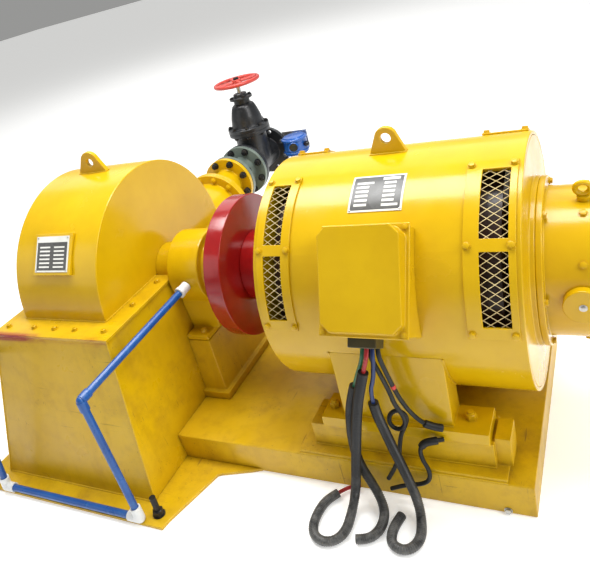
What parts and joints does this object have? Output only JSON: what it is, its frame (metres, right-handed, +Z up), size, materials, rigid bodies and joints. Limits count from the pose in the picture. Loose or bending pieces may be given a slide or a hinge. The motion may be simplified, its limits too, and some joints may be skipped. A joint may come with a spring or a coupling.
{
  "type": "small hydroelectric generator set",
  "caption": "Impulse water turbine with a horizontal generator, flywheel coupling, inlet gate valve and bearing on a steel base frame.",
  "frame": {"origin": "on the floor plane straight below the shaft axis, at the drive end of the generator", "axes": "+X along the shaft from turbine to exciter, +Y to the water inlet side, +Z up"},
  "size_m": [2.43, 2.271, 1.1643],
  "materials": {
    "shell": "glossy warm yellow enamel",
    "plate": "warm yellow enamel, scratched",
    "wheel": "glossy deep red enamel",
    "handwheel": "satin red enamel",
    "valve": "satin black coating",
    "spool": "grey green paint",
    "steel": "machined",
    "windings": "varnished dark brown",
    "label": "bare printed plate",
    "bolt": "dark oxidised steel",
    "blue_pipe": "glossy blue plastic pipe",
    "white_fitting": "glossy white plastic fitting",
    "converter": "glossy blue enamel",
    "bracket": "bare galvanised plate",
    "cable": "black ribbed conduit",
    "lead_green": "green insulated lead",
    "lead_red": "red insulated lead",
    "lead_blue": "blue insulated lead"
  },
  "bodies": {
    "root": {"anchor_bolts": "bolt", "base_frame": "plate", "bearing_housings": "shell", "bearing_pedestals": "plate", "cable_spout": "shell", "cable_thin_1": "cable", "cable_thin_2": "cable", "cable_thin_3": "cable", "casing_flange_front": "plate", "casing_flange_rear": "plate", "conduit_blue": "cable", "conduit_green": "cable", "conduit_red": "cable", "converter_bracket": "bracket", "cooling_fittings": "white_fitting", "cooling_pipe": "blue_pipe", "drive_end_shield": "shell", "exciter_end_cover": "shell", "exciter_end_shield": "shell", "exciter_eye_bolt": "shell", "exciter_housing": "shell", "exciter_side_cap": "shell", "flow_converter": "converter", "front_foot": "plate", "gate_valve_body": "valve", "gate_valve_bonnet": "valve", "generator_nameplate": "label", "generator_shell": "shell", "inlet_reducer": "shell", "lead_blue": "lead_blue", "lead_green": "lead_green", "lead_red": "lead_red", "lead_red_tail": "lead_red", "lifting_lugs": "shell", "nozzle_throat": "shell", "pipe_gaskets": "white_fitting", "rear_foot": "plate", "shaft_seals": "shell", "sole_rails": "plate", "spool_piece": "spool", "stator": "windings", "terminal_box": "shell", "terminal_box_lid": "shell", "turbine_casing": "plate", "turbine_hood": "shell", "turbine_nameplate": "label", "turbine_nameplate_pad": "shell", "turbine_sole_plate": "plate", "vent_covers_front": "shell", "vent_covers_rear": "shell"},
    "rotor": {"flywheel": "wheel", "coupling_hub": "wheel", "rotor_shaft": "steel", "rotor": "steel"},
    "handwheel": {"handwheel": "handwheel", "valve_stem": "steel"}
  },
  "joints": [
    {"name": "rotor_spin", "type": "hinge", "parent": "root", "child": "rotor", "pos_m": [0, 0, 0.63], "axis": [1, 0, 0], "continuous": true},
    {"name": "handwheel_turn", "type": "hinge", "parent": "root", "child": "handwheel", "pos_m": [-0.848, 1.308, 1.084], "axis": [0, 0, 1], "continuous": true}
  ]
}
